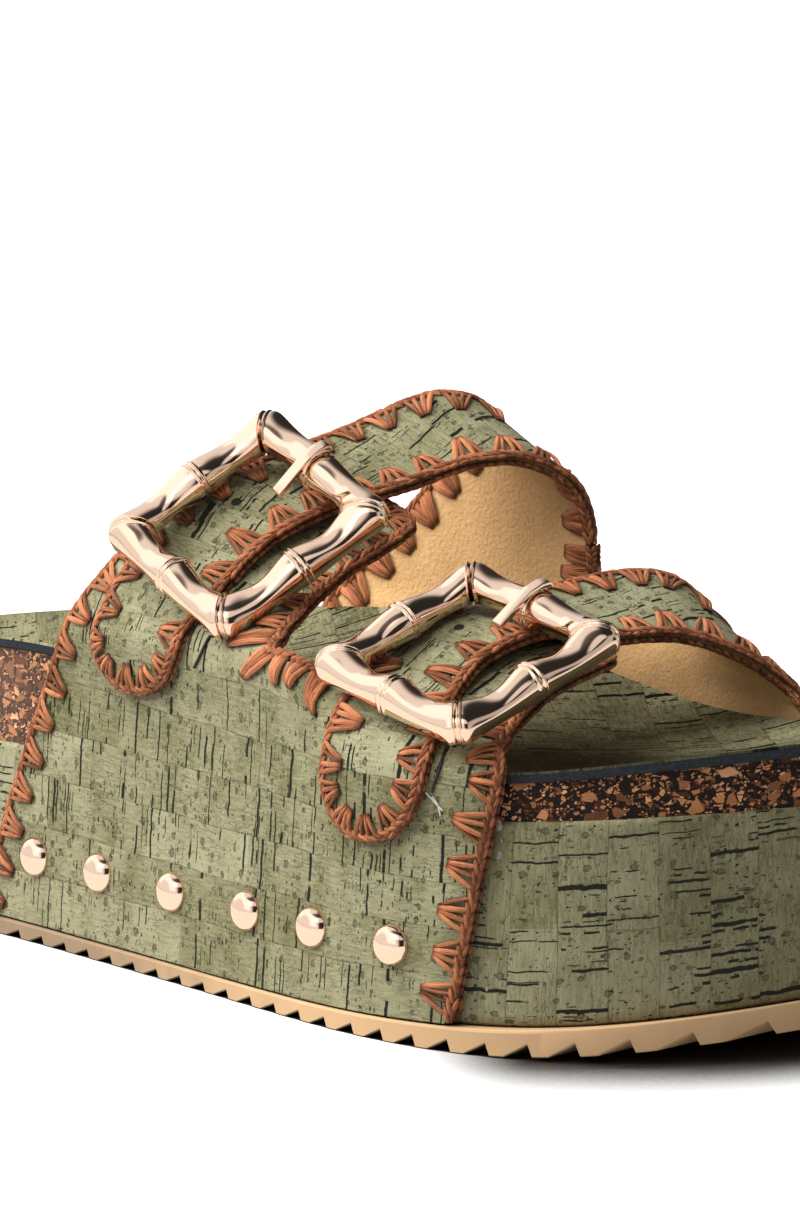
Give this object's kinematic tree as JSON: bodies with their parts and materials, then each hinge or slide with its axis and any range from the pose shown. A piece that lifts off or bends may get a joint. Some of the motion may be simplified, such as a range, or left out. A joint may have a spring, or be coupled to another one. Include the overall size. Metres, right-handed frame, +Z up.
{
  "type": "flatform sandal",
  "caption": "Right flatform sandal with a ridged outsole, wrapped platform, cork footbed and instep straps with bamboo-shaped buckles, crochet edging and dome studs.",
  "frame": {"origin": "on the floor under the middle of the sandal's box", "axes": "+X from heel to toe, +Y to the medial side, +Z up"},
  "size_m": [0.2656, 0.1052, 0.1101],
  "materials": {
    "tan_rubber": "satin",
    "olive_cork_fabric": "matte",
    "pressed_cork": "matte",
    "insole_cork": "matte",
    "upper_cork_fabric": "matte",
    "raffia": "matte",
    "lining": "matte",
    "rose_gold": "polished"
  },
  "bodies": {
    "root": {"outsole": "tan_rubber", "platform": "olive_cork_fabric", "footbed_cork": "pressed_cork", "insole": "insole_cork", "upper": "upper_cork_fabric", "buckle_rear_frame": "rose_gold", "buckle_front_frame": "rose_gold", "buckle_rear_prong": "rose_gold", "buckle_front_prong": "rose_gold", "stud_1": "rose_gold", "stud_2": "rose_gold", "stud_3": "rose_gold", "stud_4": "rose_gold", "stud_5": "rose_gold", "stud_6": "rose_gold"}
  },
  "joints": []
}
